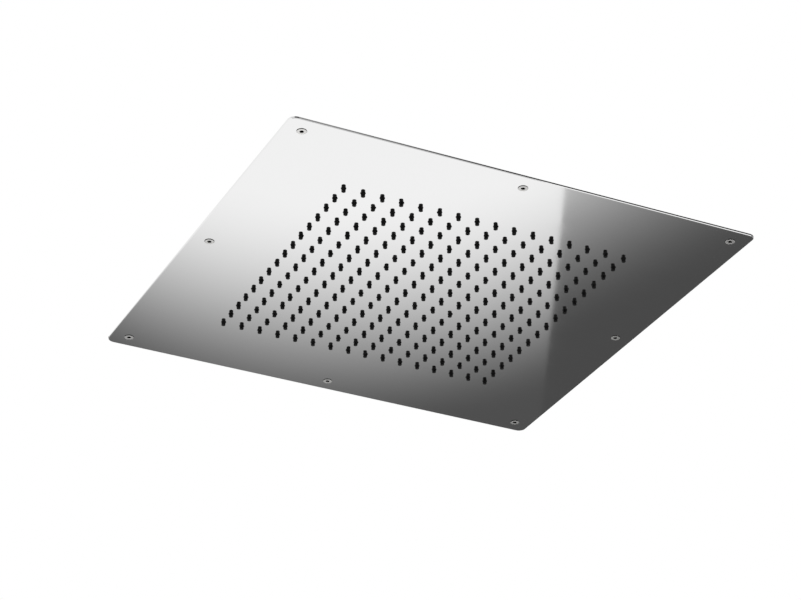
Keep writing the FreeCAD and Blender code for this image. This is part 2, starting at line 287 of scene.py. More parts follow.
def mirror_polished_stainless(tree, finishes):
    """Stainless sheet, buffed to a mirror on the side that shows and left as rolled on its back."""
    # Buffing leaves a faint haze of wipe marks some centimetres long
    haze = object_pattern(tree, 30 * MM, (3, 1, 1), 4.0)
    polished = add_node(
        tree, "ShaderNodeBsdfPrincipled",
        {"Base Color": (*finishes.mirror_steel, 1), "Metallic": 1.0},
        {"Roughness": ranged(tree, haze, 0.02, 0.045)})
    # The rolled back scatters light along the sheet, in grain too fine to show, so it is drawn coarser
    grain = object_pattern(tree, 0.6 * MM, (30, 1, 1))
    rolled = add_node(
        tree, "ShaderNodeBsdfPrincipled",
        {"Base Color": (*finishes.satin_steel, 1), "Metallic": 1.0},
        {"Roughness": ranged(tree, grain, 0.27, 0.36),
         "Normal": raised(tree, grain, 0.004 * MM)})
    place = add_node(tree, "ShaderNodeTexCoord").outputs["Object"]
    height = add_node(tree, "ShaderNodeSeparateXYZ", links={"Vector": place}).outputs["Z"]
    back_skin = 0.02 * MM
    on_back = computed(tree, "GREATER_THAN", height, PLATE_HIGH.z - back_skin)
    return add_node(
        tree, "ShaderNodeMixShader", links={0: on_back, 1: polished.outputs[0], 2: rolled.outputs[0]})


def cold_rolled_stainless(tree, finishes):
    """Stainless sheet as it leaves the rolls: an even satin with a fine grain along X."""
    # The grain is too fine to show, so it is drawn coarser. The sheet shines unevenly over some centimetres
    grain = object_pattern(tree, 0.6 * MM, (30, 1, 2))
    patch = object_pattern(tree, 60 * MM)
    rough = computed(tree, "ADD", ranged(tree, grain, 0.24, 0.32), ranged(tree, patch, -0.03, 0.05))
    return add_node(
        tree, "ShaderNodeBsdfPrincipled",
        {"Base Color": (*finishes.satin_steel, 1), "Metallic": 1.0},
        {"Roughness": rough, "Normal": raised(tree, grain, 0.005 * MM)})


def cold_formed_stainless(tree, finishes):
    """Stainless screws and nuts, tumbled after forming: a soft shine with tiny dents."""
    # Tumbling leaves dents about half a millimetre apart
    dents = object_pattern(tree, 0.5 * MM)
    return add_node(
        tree, "ShaderNodeBsdfPrincipled",
        {"Base Color": (*finishes.fastener_steel, 1), "Metallic": 1.0},
        {"Roughness": ranged(tree, dents, 0.14, 0.24), "Normal": raised(tree, dents, 0.004 * MM)})


def painted_shade_stainless(tree, finishes):
    """The punched socket and the side of a screw's head, painted near black: painted shade in the socket's
    recess and a painted dark reflection on the head's side.
    """
    # Its roughness and bump break up into patches of some tenths of a millimetre
    shade_patches = object_pattern(tree, 0.4 * MM)
    return add_node(
        tree, "ShaderNodeBsdfPrincipled",
        {"Base Color": (*finishes.painted_shade, 1), "Specular IOR Level": 0.2},
        {"Roughness": ranged(tree, shade_patches, 0.4, 0.6), "Normal": raised(tree, shade_patches, 0.01 * MM)})


def moulded_silicone(tree, finishes):
    """Soft black silicone with the faint bloom of a spark-eroded mould."""
    # The mould's texture is too fine to show, so it is drawn coarser
    texture = object_pattern(tree, 0.25 * MM)
    return add_node(
        tree, "ShaderNodeBsdfPrincipled",
        {"Base Color": (*finishes.silicone, 1), "IOR": 1.41, "Specular IOR Level": 0.2},
        {"Roughness": ranged(tree, texture, 0.36, 0.5), "Normal": raised(tree, texture, 0.01 * MM)})


def cut_rubber_sheet(tree, finishes):
    """Black rubber cut from sheet: matt, with a cloth-like press mark."""
    # The press cloth has a thread each 0.8 mm
    texture = object_pattern(tree, 0.8 * MM)
    return add_node(
        tree, "ShaderNodeBsdfPrincipled",
        {"Base Color": (*finishes.rubber, 1), "IOR": 1.52},
        {"Roughness": ranged(tree, texture, 0.6, 0.8), "Normal": raised(tree, texture, 0.03 * MM)})


def turned_brass(tree, finishes):
    """Brass from the lathe: rings of fine feed marks that draw the light out sideways."""
    place = add_node(tree, "ShaderNodeTexCoord").outputs["Object"]
    # The tool leaves a mark each 0.1 mm, which is too fine to show, so the rings are drawn coarser
    feed = 1.5 * MM
    # The wave texture has a full wave each 2 pi / 20 of its own units
    values = {"Scale": 2 * math.pi / 20 / feed, "Distortion": 0.2, "Detail": 1.0}
    marks = add_node(
        tree, "ShaderNodeTexWave", values, {"Vector": place}, wave_type="BANDS", bands_direction="Z")
    return add_node(
        tree, "ShaderNodeBsdfPrincipled",
        {"Base Color": (*finishes.brass, 1), "Metallic": 1.0},
        {"Roughness": ranged(tree, marks.outputs["Fac"], 0.2, 0.32),
         "Normal": raised(tree, marks.outputs["Fac"], 0.01 * MM)})


def moulded_acetal(tree, finishes):
    """Off-white acetal: waxy, with light passing a little way in."""
    # The mould's texture is too fine to show, so it is drawn coarser
    texture = object_pattern(tree, 0.4 * MM)
    return add_node(
        tree, "ShaderNodeBsdfPrincipled",
        {"Base Color": (*finishes.acetal, 1), "IOR": 1.48, "Subsurface Weight": 0.2,
         "Subsurface Scale": 1 * MM},
        {"Roughness": ranged(tree, texture, 0.35, 0.45)})


FINISHES = {
    "polished_steel": mirror_polished_stainless,
    "satin_steel": cold_rolled_stainless,
    "screw_steel": cold_formed_stainless,
    "silicone": moulded_silicone,
    "seal_rubber": cut_rubber_sheet,
    "brass": turned_brass,
    "acetal": moulded_acetal,
}
made_finishes = {}


def finish_for(slot):
    """The material of a record slot, made once."""
    if slot not in made_finishes:
        made_finishes[slot] = new_finish(FINISHES[slot])
    return made_finishes[slot]


def dress(*nodes):
    """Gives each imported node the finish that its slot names."""
    slots = {part["node"]: part["material_slot"] for part in frame["record"]["subparts"]}
    for name in nodes:
        mesh = frame["nodes"][name].data
        mesh.materials.clear()
        mesh.materials.append(finish_for(slots[name]))


def hexagon(across_flats):
    """Radius of a hexagon as a function of the angle, with a corner on the X axis."""
    sixth = math.pi / 3
    return lambda angle: across_flats / 2 / math.cos(angle % sixth - sixth / 2)


def at(value, angle):
    """A profile's number, or its function at this angle."""
    return value(angle) if callable(value) else value


def turned(rows, steps, closed=False):
    """Points and faces of a shape about the Z axis, from rows of radius and height.

    A number stays the same around the row, and a function gives the value at each angle. A row of radius 0
    is one point on the axis. A closed shape's last row joins its first.
    """
    points, faces, loops = [], [], []
    for radius, height in rows:
        first = len(points)
        if radius == 0:
            points.append((0.0, 0.0, at(height, 0.0)))
            loops.append([first] * steps)
            continue
        for i in range(steps):
            angle = 2 * math.pi * i / steps
            r = at(radius, angle)
            points.append((r * math.cos(angle), r * math.sin(angle), at(height, angle)))
        loops.append(list(range(first, first + steps)))
    pairs = list(zip(loops, loops[1:]))
    if closed:
        pairs.append((loops[-1], loops[0]))
    for low, high in pairs:
        for i in range(steps):
            j = (i + 1) % steps
            corners = list(dict.fromkeys((low[i], low[j], high[j], high[i])))
            if len(corners) > 2:
                faces.append(corners)
    return points, faces


def joined(*shapes):
    """Several shapes as one."""
    points, faces = [], []
    for more_points, more_faces in shapes:
        first = len(points)
        points += more_points
        faces += [[first + i for i in face] for face in more_faces]
    return points, faces


def repeated(shape, places):
    """A copy of a shape at each place in the plane."""
    points, faces = shape
    return joined(*[([(x + px, y + py, z) for x, y, z in points], faces) for px, py in places])


def mesh_of(name, shape):
    """A mesh from points and faces."""
    points, faces = shape
    mesh = bpy.data.meshes.new(name)
    mesh.from_pydata(points, [], faces)
    return mesh


def placed(name, data):
    """A new object in the scene that holds a mesh, a lamp or a camera."""
    holder = bpy.data.objects.new(name, data)
    bpy.context.scene.collection.objects.link(holder)
    return holder


def add_piece(name, shape, slot, nodes, sharp=METAL_EDGE):
    """Adds a piece of the head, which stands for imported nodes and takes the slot's finish."""
    mesh = mesh_of(name, shape)
    mesh.materials.append(finish_for(slot))
    piece = placed(name, mesh)
    tidy_mesh(mesh, sharp)
    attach(piece, BODY)
    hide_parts(*nodes)
    return piece


def tidy_mesh(mesh, sharp):
    """Welds the points, turns the faces outwards, and shades them smooth up to an angle in degrees."""
    work = bmesh.new()
    work.from_mesh(mesh)
    bmesh.ops.remove_doubles(work, verts=work.verts, dist=WELD)
    bmesh.ops.recalc_face_normals(work, faces=work.faces)
    work.to_mesh(mesh)
    work.free()
    mesh.shade_smooth()
    mesh.set_sharp_from_angle(angle=math.radians(sharp))


def ring_faces(rings, count):
    """Faces between rings of points that follow each other."""
    faces = []
    for low in range(0, (rings - 1) * count, count):
        high = low + count
        for i in range(count):
            j = (i + 1) % count
            faces.append((low + i, low + j, high + j, high + i))
    return faces


def steps_between(start, end, count):
    """Evenly spaced values, with both ends."""
    return [start + (end - start) * i / count for i in range(count + 1)]


def thread_rows(crest, root, pitch, start, end, rows_per_pitch=6):
    """Rows of a screw thread, outside or inside, whose groove runs out over half a turn at each end.

    The crest is the radius at the thread's tips and the root the radius at its bottoms. Each is flat over a
    sixth of the pitch.
    """
    count = max(2, round(abs(end - start) / pitch * rows_per_pitch))
    flat = 1 / 6
    flank = 1 / 2 - flat

    def row(z):
        fade = min(1.0, abs(z - start) / pitch * 2, abs(end - z) / pitch * 2)

        def radius(angle):
            phase = (z / pitch - angle / (2 * math.pi)) % 1
            ridge = min(1.0, max(0.0, ((1 - flat) / 2 - abs(phase - 0.5)) / flank))
            return root + (crest - root) * (ridge * fade + (1 - fade))

        return radius, z

    return [row(z) for z in steps_between(start, end, count)]


def nut_rows(across_flats, bore, bottom, top, both_ends=True):
    """Rows of a hexagon nut or bolt head, chamfered at its top and where wanted at its bottom."""
    outline = hexagon(across_flats)
    circle = END_FACE * across_flats / 2

    def drop(angle):
        return max(0.0, outline(angle) - circle) * CHAMFER_SLOPE

    lead = 0.4 * MM
    low = [(circle, bottom), (outline, lambda a: bottom + drop(a))] if both_ends else [(outline, bottom)]
    high = [(outline, lambda a: top - drop(a)), (circle, top)]
    if not bore:
        return low + high
    inside = [(bore + lead, top), (bore, top - lead), (bore, bottom + lead)]
    return [(bore + lead, bottom)] + low + high + inside


def side_rows(radius, low, high, edge):
    """Rows of a round side whose two edges are broken by this much."""
    return [(radius - edge, low), (radius, low + edge), (radius, high - edge), (radius - edge, high)]


def nozzle_places(sizes):
    """Centres of the nozzles, row by row."""
    reach = NOZZLE_HIGH.x - sizes.nozzle_root
    steps = steps_between(-reach, reach, sizes.nozzles_per_row - 1)
    return [(x, y) for y in steps for x in steps]


def screw_places(sizes):
    """Centres of the corner screws and the mid-side screws."""
    reach = SCREW_HIGH.x - sizes.screw_head
    return [(x, y) for y in (-reach, 0, reach) for x in (-reach, 0, reach) if x or y]


def rim_places():
    """Centres of the studs along the pan's flange, four to a side."""
    reach = STUD_HIGH.x - STUD_R
    steps = [reach * share for share in (-1, -1 / 3, 1 / 3, 1)]
    return [(x, y) for y in steps for x in steps if reach in (abs(x), abs(y))]


def stay_places():
    """Centres of the four stays."""
    reach = BOLT_HIGH.x - STAY_KEY / 2 * HEX_CORNER
    return [(x, y) for y in (-reach, reach) for x in (-reach, reach)]


class SHOWERHEAD_OT_faceplate(bpy.types.Operator):
    """Polish the sheet that shows"""

    bl_idname = "showerhead.faceplate"
    bl_label = "Faceplate"

    def execute(self, context):
        dress("faceplate")
        return {"FINISHED"}


def nozzle_shape(sizes, tip):
    """One round nozzle about the Z axis, with its collar on the sheet's face and its tip at this height."""
    # The stem fits into the sheet's hole. The body narrows towards its end, and the outlet on its way in
    stem, body, end = 1.75 * MM, 2.15 * MM, 2.1 * MM
    outlet_depth, narrowing, sunk = 1.6 * MM, 0.9, 0.02 * MM

    # Each curve's points, in millimetres inwards from its radius and away from the sheet or the tip
    collar_curve = ((0.0, 0.12), (0.05, 0.35), (0.2, 0.5))
    root_curve = ((-0.05, 0.6), (0.0, 0.8))
    tip_curve = ((0.0, 0.2), (0.03, 0.07), (0.1, 0.0))
    mouth_curve = ((-0.12, 0.0), (0.0, 0.1))

    rows = [(0, NOZZLE_HIGH.z), (stem, NOZZLE_HIGH.z), (stem, PLATE_FACE + sunk)]
    rows += [(sizes.collar_radius - 0.1 * MM, PLATE_FACE + sunk)]
    for radius, curve in ((sizes.collar_radius, collar_curve), (body, root_curve)):
        rows += [(radius - inset * MM, PLATE_FACE - out * MM) for inset, out in curve]
    for radius, curve in ((end, tip_curve), (sizes.outlet_radius, mouth_curve)):
        rows += [(radius - inset * MM, tip + back * MM) for inset, back in curve]
    rows += [(sizes.outlet_radius * narrowing, tip + outlet_depth), (0, tip + outlet_depth)]
    return turned(rows, NOZZLE_TURN)


class SHOWERHEAD_OT_nozzles(bpy.types.Operator):
    """Mould the round silicone nozzles with their collars and outlets"""

    bl_idname = "showerhead.nozzles"
    bl_label = "Nozzles"

    def execute(self, context):
        sizes = context.scene.shower_sizes
        outer = nozzle_shape(sizes, NOZZLE_LOW.z)
        middle = nozzle_shape(sizes, NOZZLE_LOW.z + sizes.nozzle_sag)

        # Each nozzle leans by chance, up to twice the usual slope to either side. The middle ones of each
        # square mat stand out less and also lean towards each other, as the mat dips there
        chance = random.Random(5)
        usual = math.tan(sizes.nozzle_lean)
        most = 2
        mat = sizes.nozzles_per_mat
        nozzles = []
        for number, (px, py) in enumerate(nozzle_places(sizes)):
            row, column = divmod(number, sizes.nozzles_per_row)
            place_x, place_y = column % mat, row % mat
            lean_x, lean_y = chance.uniform(-most, most) * usual, chance.uniform(-most, most) * usual
            points, faces = outer
            if 0 < place_x < mat - 1 and 0 < place_y < mat - 1:
                points, faces = middle
                lean_x += usual * (mat - 1 - 2 * place_x)
                lean_y += usual * (mat - 1 - 2 * place_y)
            leaning = []
            for x, y, z in points:
                below = max(0.0, PLATE_FACE - z)
                leaning.append((x + px + lean_x * below, y + py + lean_y * below, z))
            nozzles.append((leaning, faces))
        add_piece("silicone_nozzles", joined(*nozzles), "silicone", ["spray_nozzles"], NOZZLE_EDGE)
        return {"FINISHED"}


class SHOWERHEAD_OT_plate_screws(bpy.types.Operator):
    """Form the countersunk screws with their sockets and threads"""

    bl_idname = "showerhead.plate_screws"
    bl_label = "Plate screws"

    def execute(self, context):
        sizes = context.scene.shower_sizes
        head_r, shank_r = sizes.screw_head, 2.5 * MM
        pitch, thread_depth, lead = 0.8 * MM, 0.45 * MM, 0.4 * MM
        face, end = SCREW_LOW.z, SCREW_HIGH.z
        neck, bend = PLATE_FACE + head_r - shank_r, 0.15 * MM

        # The socket has a drilled pit at its bottom and a chamfered mouth
        key, depth, pit, pit_r = 3 * MM, 1.9 * MM, 0.5 * MM, 0.6 * MM
        socket = hexagon(key)
        mouth = key / 2 * HEX_CORNER + 0.4 * MM

        # The rim is chamfered, and rings beside the edges keep them crisp. The cone clears the countersink
        rim, by_mouth, by_rim = 0.22 * MM, 0.1 * MM, 0.05 * MM
        seat, hair = 0.02 * MM, 0.04 * MM
        rows = [
            (0, face + depth + pit),
            (pit_r, face + depth + pit / 2),
            (socket, face + depth),
            (socket, lambda a: face + (mouth - socket(a)) * CHAMFER_SLOPE),
            (mouth, face),
            (mouth + by_mouth, face),
            (head_r - rim - by_rim, face),
            (head_r - rim, face),
            (head_r, face + rim),
            (head_r, face + rim + hair),
            (head_r, PLATE_FACE - seat),
            (head_r - seat - hair, PLATE_FACE + seat),
            (shank_r + bend, neck - bend),
            (shank_r, neck + bend),
        ]
        rows += thread_rows(shank_r, shank_r - thread_depth, pitch, neck + 0.5 * MM, end - lead)
        rows += [(shank_r - lead, end), (0, end)]
        shape = repeated(turned(rows, FINE_TURN), screw_places(sizes))
        screws = add_piece("countersunk_screws", shape, "screw_steel", ["plate_screws"])
        # A second material paints the socket and the head's side near black, as painted shade and a painted
        # dark reflection
        screws.data.materials.append(new_finish(painted_shade_stainless))

        # Painted shade goes on the faces in the socket and on the head's side, and the face between them
        # keeps the steel's finish
        shade_low, socket_high = face + 0.01 * MM, face + depth + 2 * pit
        shade_r = head_r - 0.9 * rim
        for side in screws.data.polygons:
            x, y, z = side.center
            off_axis = min(math.hypot(x - px, y - py) for px, py in screw_places(sizes))
            in_socket = off_axis < mouth and shade_low < z < socket_high
            on_rim = off_axis > shade_r and z > shade_low
            if in_socket or on_rim:
                side.material_index = 1
        return {"FINISHED"}


def square_loop(half, radius, shares, arc_steps, z):
    """Points of a square loop with round corners, whose sides are divided by the shares from -1 to 1."""
    flat = half - radius
    points = []
    for quarter in range(4):
        turn = Matrix.Rotation(quarter * math.pi / 2, 2)
        side = [Vector((half, flat * share)) for share in shares]
        arc = [math.pi / 2 * i / arc_steps for i in range(1, arc_steps)]
        corner = [Vector((flat + radius * math.cos(a), flat + radius * math.sin(a))) for a in arc]
        points += [(*(turn @ p), z) for p in side + corner]
    return points


def pan_skin(sizes):
    """The pan's outer skin: flange, wall, round shoulder, and a top with four pressed beads."""
    wall = NOZZLE_HIGH.x - sizes.nozzle_root + sizes.field_margin + sizes.pan_wall
    corner, flange_corner, top_corner = 18 * MM + sizes.pan_wall, 12 * MM, 6 * MM
    foot, shoulder, edge = 2 * MM, 5 * MM, 0.3 * MM
    bead_start, bead_end, bead_half, bead_rise = 46 * MM, 148 * MM, 8 * MM, 3 * MM
    flange_top, top = PAN_LOW.z + sizes.pan_wall, PAN_HIGH.z - bead_rise
    arc_steps, foot_steps, shoulder_steps = 6, 4, 6

    # The square that carries the beads has close lines along their edges and wide ones between
    reach, close, wide = bead_end + 2 * MM, 0.65 * MM, 1.5 * MM
    close_steps, wide_steps = range(-7, 8), 18
    fine = [line + step * close for line in (bead_half, bead_start, bead_end) for step in close_steps]
    fine = [line for line in fine if close < line < reach - close]
    coarse = steps_between(0, reach, wide_steps)[1:-1]
    coarse = [line for line in coarse if all(abs(line - other) > wide for other in fine)]
    half_lines = sorted(fine + coarse) + [reach]
    places = [-line for line in reversed(half_lines)] + [0.0] + half_lines
    shares = [place / reach for place in places]

    def bead(x, y):
        """Rise of the beads at a place: a smooth step up from their edges."""
        along, across = max(abs(x), abs(y)), min(abs(x), abs(y))
        inside = min(bead_half - across, along - bead_start, bead_end - along)
        share = min(1.0, max(0.0, (inside + edge) / (bead_rise + 2 * edge)))
        return bead_rise * share * share * (3 - 2 * share)

    rings = [(PAN_HIGH.x, flange_corner, flange_top - edge), (PAN_HIGH.x - edge, flange_corner, flange_top)]
    for angle in steps_between(0, math.pi / 2, foot_steps):
        out, rise = foot * (1 - math.sin(angle)), foot * (1 - math.cos(angle))
        rings.append((wall + out, corner + out, flange_top + rise))
    for angle in steps_between(0, math.pi / 2, shoulder_steps):
        inset, drop = shoulder * (1 - math.cos(angle)), shoulder * (1 - math.sin(angle))
        rings.append((wall - inset, corner - inset, top - drop))
    rings += [(reach + top_corner, top_corner, top), (reach, 0.0, top)]

    points = []
    for half, radius, z in rings:
        points += square_loop(half, radius, shares, arc_steps, z)
    first, size = len(points), len(places)
    faces = ring_faces(len(rings), first // len(rings))
    points += [(x, y, top + bead(x, y)) for y in places for x in places]
    for row in range(size - 1):
        for i in range(size - 1):
            a = first + row * size + i
            faces.append((a, a + 1, a + size + 1, a + size))
    return points, faces


def add_drills():
    """Cylinders through the pan at the inlet, the stays and the studs."""
    past = 2 * MM
    low, high = PAN_LOW.z - past, PAN_HIGH.z + past

    def drill(radius, places, steps):
        rows = [(0, low), (radius, low), (radius, high), (0, high)]
        return repeated(turned(rows, steps), places)

    shape = joined(
        drill(NECK_R + HOLE_SPARE, [(0, 0)], FINE_TURN),
        drill(STAY_R + HOLE_SPARE, stay_places(), SMALL_TURN),
        drill(STUD_R + HOLE_SPARE, rim_places(), SMALL_TURN),
    )
    return placed("drills", mesh_of("drills", shape))


def settle(piece):
    """Applies a piece's modifiers to its mesh."""
    graph = bpy.context.evaluated_depsgraph_get()
    graph.update()
    made = bpy.data.meshes.new_from_object(piece.evaluated_get(graph))
    piece.modifiers.clear()
    piece.data = made


class SHOWERHEAD_OT_back_pan(bpy.types.Operator):
    """Press the pan with its rounded shoulders and beads, and drill it"""

    bl_idname = "showerhead.back_pan"
    bl_label = "Back pan"

    def execute(self, context):
        sizes = context.scene.shower_sizes
        pan = add_piece("pressed_pan", pan_skin(sizes), "satin_steel", ["back_pan"])
        thickened = pan.modifiers.new("sheet", "SOLIDIFY")
        thickened.thickness = sizes.pan_wall
        thickened.offset = -1.0
        drills = add_drills()
        cut = pan.modifiers.new("holes", "BOOLEAN")
        cut.operation = "DIFFERENCE"
        cut.object = drills
        cut.solver = "EXACT"
        settle(pan)
        bpy.data.objects.remove(drills)
        pan.data.shade_smooth()
        pan.data.set_sharp_from_angle(angle=math.radians(PAN_EDGE))
        return {"FINISHED"}


class SHOWERHEAD_OT_rim_fasteners(bpy.types.Operator):
    """Add the studs, washers and nuts along the pan's flange"""

    bl_idname = "showerhead.rim_fasteners"
    bl_label = "Rim fasteners"

    def execute(self, context):
        places = rim_places()
        weld, pitch, depth, lead = 0.7 * MM, 0.7 * MM, 0.35 * MM, 0.4 * MM
        low, high = STUD_LOW.z, STUD_HIGH.z
        rows = [(0, low), (STUD_R + weld, low), (STUD_R, low + weld)]
        rows += thread_rows(STUD_R, STUD_R - depth, pitch, NUT_LOW.z - 0.6 * MM, high - lead)
        rows += [(STUD_R - lead, high), (0, high)]
        add_piece("threaded_studs", repeated(turned(rows, SMALL_TURN), places), "screw_steel", ["rim_studs"])

        outer, hole, edge = 4.5 * MM, 2.2 * MM, 0.12 * MM
        low, high = WASHER_LOW.z, WASHER_HIGH.z
        rows = [(hole, low)] + side_rows(outer, low, high, edge) + [(hole + edge, high), (hole, high - edge)]
        shape = repeated(turned(rows, SMALL_TURN, closed=True), places)
        add_piece("flat_washers", shape, "screw_steel", ["rim_washers"])

        rows = nut_rows(7 * MM, STUD_R, NUT_LOW.z, NUT_HIGH.z)
        shape = repeated(turned(rows, SMALL_TURN, closed=True), places)
        add_piece("hexagon_nuts", shape, "screw_steel", ["rim_nuts"])
        return {"FINISHED"}


class SHOWERHEAD_OT_stay_fasteners(bpy.types.Operator):
    """Add the stay bolts and their sealing washers, and finish the posts"""

    bl_idname = "showerhead.stay_fasteners"
    bl_label = "Stay fasteners"

    def execute(self, context):
        places = stay_places()
        pitch, depth, lead, plain = 0.8 * MM, 0.4 * MM, 0.4 * MM, 1 * MM
        low, head_bottom, high = BOLT_LOW.z, SEAL_HIGH.z, BOLT_HIGH.z
        rows = [(0, low), (STAY_R - lead, low)]
        rows += thread_rows(STAY_R, STAY_R - depth, pitch, low + lead, head_bottom - plain)
        rows += [(STAY_R, head_bottom)] + nut_rows(STAY_KEY, 0, head_bottom, high, both_ends=False)
        rows += [(0, high)]
        add_piece("hexagon_bolts", repeated(turned(rows, SMALL_TURN), places), "screw_steel", ["stay_bolts"])

        # Squeezed rubber bulges outwards
        outer, bulge, inset = 6.5 * MM, 0.25 * MM, 0.06 * MM
        low, high = SEAL_LOW.z, SEAL_HIGH.z
        rows = [(STAY_R, low), (outer - bulge, low), (outer - inset, low + bulge), (outer, (low + high) / 2)]
        rows += [(outer - inset, high - bulge), (outer - bulge, high), (STAY_R, high)]
        shape = repeated(turned(rows, 2 * SMALL_TURN, closed=True), places)
        add_piece("sealing_washers", shape, "seal_rubber", ["stay_seals"], SOFT_EDGE)
        dress("stay_posts")
        return {"FINISHED"}


class SHOWERHEAD_OT_inlet(bpy.types.Operator):
    """Turn the brass inlet with both its threads, its washer and its nut"""

    bl_idname = "showerhead.inlet"
    bl_label = "Inlet"

    def execute(self, context):
        flange_r, seat_r, throat_r = 19 * MM, 8.5 * MM, 5.5 * MM
        low, high = BOSS_LOW.z, BOSS_HIGH.z
        flange_top, seat_low = low + 3 * MM, low + 5.2 * MM
        rows = [(throat_r, low)] + side_rows(flange_r, low, flange_top, 0.5 * MM) + [(NECK_R, flange_top)]

        # The neck's thread takes the locknut, and the half-inch pipe thread inside takes the supply
        pitch, depth, lead, rows_per_pitch = 1.5 * MM, 0.75 * MM, 0.8 * MM, 8
        start = PAN_HIGH.z - 1 * MM
        rows += thread_rows(NECK_R, NECK_R - depth, pitch, start, high - lead, rows_per_pitch)
        rows += [(NECK_R - lead, high)]
        core_r, pitch, depth, lead = 9.5 * MM, 1.814 * MM, 0.95 * MM, 1.2 * MM
        start = INLET_THREAD_LOW + 0.3 * MM
        rows += [(core_r + lead, high)]
        rows += thread_rows(core_r, core_r + depth, pitch, start, high - lead, rows_per_pitch)[::-1]
        rows += [(core_r, INLET_THREAD_LOW), (seat_r, INLET_THREAD_LOW)]
        rows += [(seat_r, seat_low), (throat_r, seat_low)]
        add_piece("threaded_inlet", turned(rows, FINE_TURN, closed=True), "brass", ["inlet_boss"])

        outer, hole, edge = 20 * MM, NECK_R + HOLE_SPARE, 0.15 * MM
        low, high = LOCKNUT_WASHER_LOW.z, LOCKNUT_WASHER_HIGH.z
        rows = [(hole, low)] + side_rows(outer, low, high, edge) + [(hole, high)]
        add_piece("inlet_washer", turned(rows, FINE_TURN, closed=True), "screw_steel", ["locknut_washer"])

        rows = nut_rows(36 * MM, NECK_R, LOCKNUT_LOW.z, LOCKNUT_HIGH.z)
        add_piece("inlet_nut", turned(rows, FINE_TURN, closed=True), "brass", ["boss_locknut"])
        return {"FINISHED"}


def wire(path, radius, sides):
    """A bent wire along points in a plane that holds the Z axis."""
    run = (Vector(path[-1]) - Vector(path[0])).normalized()
    up = Vector((0, 0, 1))
    across = run.cross(up)
    points = []
    for centre in path:
        for i in range(sides):
            a = 2 * math.pi * i / sides
            points.append(tuple(Vector(centre) + radius * (math.cos(a) * across + math.sin(a) * up)))
    ends = [tuple(range(sides))[::-1], tuple(range(len(points) - sides, len(points)))]
    return points, ring_faces(len(path), sides) + ends


class SHOWERHEAD_OT_filter(bpy.types.Operator):
    """Weave the filter's mesh, and finish its ring and the restrictor"""

    bl_idname = "showerhead.filter"
    bl_label = "Filter"

    def execute(self, context):
        pitch = context.scene.shower_sizes.mesh_pitch
        border, wire_sides = 0.1 * MM, 6
        reach = SCREEN_HIGH.x - border
        middle = (SCREEN_LOW.z + SCREEN_HIGH.z) / 2
        wire_r = (SCREEN_HIGH.z - SCREEN_LOW.z) / 4
        count = int(reach / pitch)
        wires = []
        for number in range(-count, count + 1):
            offset = number * pitch
            half = math.sqrt(reach ** 2 - offset ** 2)
            crossings = int(half / pitch)
            steps = range(-2 * crossings, 2 * crossings + 1)
            for turned_over in (0, 1):
                path = []
                for step in steps:
                    along = step * pitch / 2
                    rise = wire_r * math.cos(math.pi * (step / 2 + number + turned_over))
                    place = (along, offset) if turned_over else (offset, along)
                    path.append((*place, middle + rise))
                if crossings:
                    wires.append(wire(path, wire_r, wire_sides))
        add_piece("woven_screen", joined(*wires), "satin_steel", ["filter_screen"], SOFT_EDGE)
        dress("filter_washer", "flow_restrictor", "restrictor_seal")
        return {"FINISHED"}


class SHOWERHEAD_OT_seals(bpy.types.Operator):
    """Finish the gasket, the inlet's seal and the diffuser inside the chamber"""

    bl_idname = "showerhead.seals"
    bl_label = "Seals and diffuser"

    def execute(self, context):
        dress("chamber_gasket", "boss_seal", "diffuser_plate")
        return {"FINISHED"}


def lit_floor(tree, azimuth, round_turn, elevation):
    """Brightness of the floor, which is lit up to a soft edge below the horizon."""
    # The edge rises towards the horizon around one azimuth, and sinks with the square of the angle from it
    crown, half_width, fall = 23.5, 12.0, 0.0323
    off_crown = computed(tree, "ABSOLUTE", computed(tree, "SUBTRACT", azimuth, crown))
    off_crown = computed(tree, "MINIMUM", off_crown, half_width)
    sunk = computed(tree, "MULTIPLY_ADD", computed(tree, "POWER", off_crown, 2.0), fall, elevation)
    ahead = faded(tree, sunk, 1.079, 0.092, -30.42, -25.51)

    # On the left the light reaches further up
    leftward = ranged(tree, round_turn, 1.0, 0.0, -15.0, -5.0)
    left = computed(tree, "MULTIPLY", leftward, faded(tree, elevation, 1.05, 0.05, -17.3, -15.5))
    return computed(tree, "MAXIMUM", ahead, left)


def dark_screen(tree, azimuth, elevation):
    """Brightness of a tall dark screen on the right with the floor before it, and 1 where it stands."""
    # The floor is lit only below a line that sinks to the right over some degrees, and then runs level
    slope_from, slope_width, slope, line = 30.0, 5.0, 0.398, -27.89
    aside = computed(tree, "MINIMUM", computed(tree, "SUBTRACT", azimuth, slope_from), slope_width)
    below = computed(tree, "SUBTRACT", line, computed(tree, "MULTIPLY_ADD", aside, slope, elevation))
    lit = computed(tree, "POWER", computed(tree, "MAXIMUM", below, 0.0), 2.0)
    growth, dark = 0.0483, 0.0796
    shade = computed(tree, "MINIMUM", computed(tree, "MULTIPLY_ADD", lit, growth, dark), 1.0)

    # Its sides lean about their places at one elevation, and its far side is paler
    lean, pivot, near_side, far_side = 0.137, -28.5, 28.63, 100.0
    leant = computed(tree, "MULTIPLY_ADD", computed(tree, "SUBTRACT", elevation, pivot), lean, azimuth)
    shade = computed(tree, "ADD", shade, faded(tree, leant, 0.0, 0.4, 36.0, 95.0))
    past_near = computed(tree, "GREATER_THAN", leant, near_side)
    before_far = computed(tree, "LESS_THAN", leant, far_side)
    return shade, computed(tree, "MULTIPLY", past_near, before_far)


